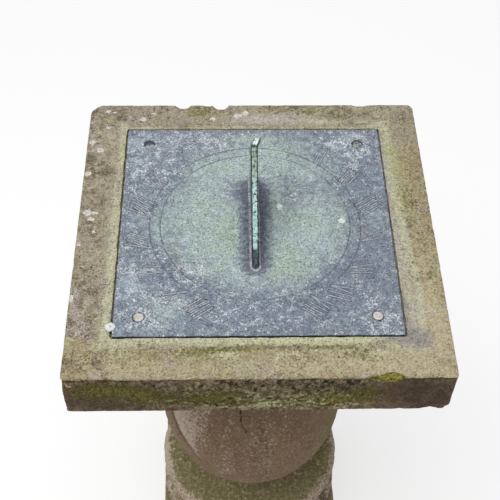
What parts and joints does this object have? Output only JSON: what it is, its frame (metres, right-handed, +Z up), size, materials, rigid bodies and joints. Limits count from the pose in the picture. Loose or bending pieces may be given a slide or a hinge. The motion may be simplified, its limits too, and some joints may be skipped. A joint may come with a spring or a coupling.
{
  "type": "pedestal sundial",
  "caption": "Horizontal sundial with a square bronze dial plate and upright gnomon, let into a square stone cap on a turned stone baluster and plinth.",
  "frame": {"origin": "centre of the plinth's underside, on the ground", "axes": "+Z up, +Y towards the noon mark (north on a dial north of the equator), +X to the right of someone who reads the dial from the south"},
  "size_m": [0.4, 0.4, 0.8075],
  "materials": {
    "cap_stone": "weathered sandstone with moss and lichen",
    "baluster_stone": "weathered turned sandstone",
    "plinth_stone": "weathered sandstone",
    "mortar": "lime mortar",
    "iron": "matte",
    "lead": "matte",
    "bronze_plate": "weathered bronze with blue-grey and mint patina",
    "bronze_gnomon": "weathered bronze with turquoise patina",
    "solder": "matte",
    "brass_pin": "satin",
    "screw_metal": "matte"
  },
  "bodies": {
    "root": {"plinth": "plinth_stone", "base_joint": "mortar", "base_dowel": "iron", "base_dowel_lead": "lead", "baluster": "baluster_stone", "cap_joint": "mortar", "cap_dowel": "iron", "cap_dowel_lead": "lead", "cap_slab": "cap_stone", "plate_bed": "mortar", "dial_plate": "bronze_plate", "gnomon": "bronze_gnomon", "gnomon_bead": "solder", "gnomon_pin_toe": "brass_pin", "gnomon_pin_heel": "brass_pin", "screw_front_left": "screw_metal", "screw_front_right": "screw_metal", "screw_back_left": "screw_metal", "screw_back_right": "screw_metal", "plug_front_left": "lead", "plug_front_right": "lead", "plug_back_left": "lead", "plug_back_right": "lead"}
  },
  "joints": []
}
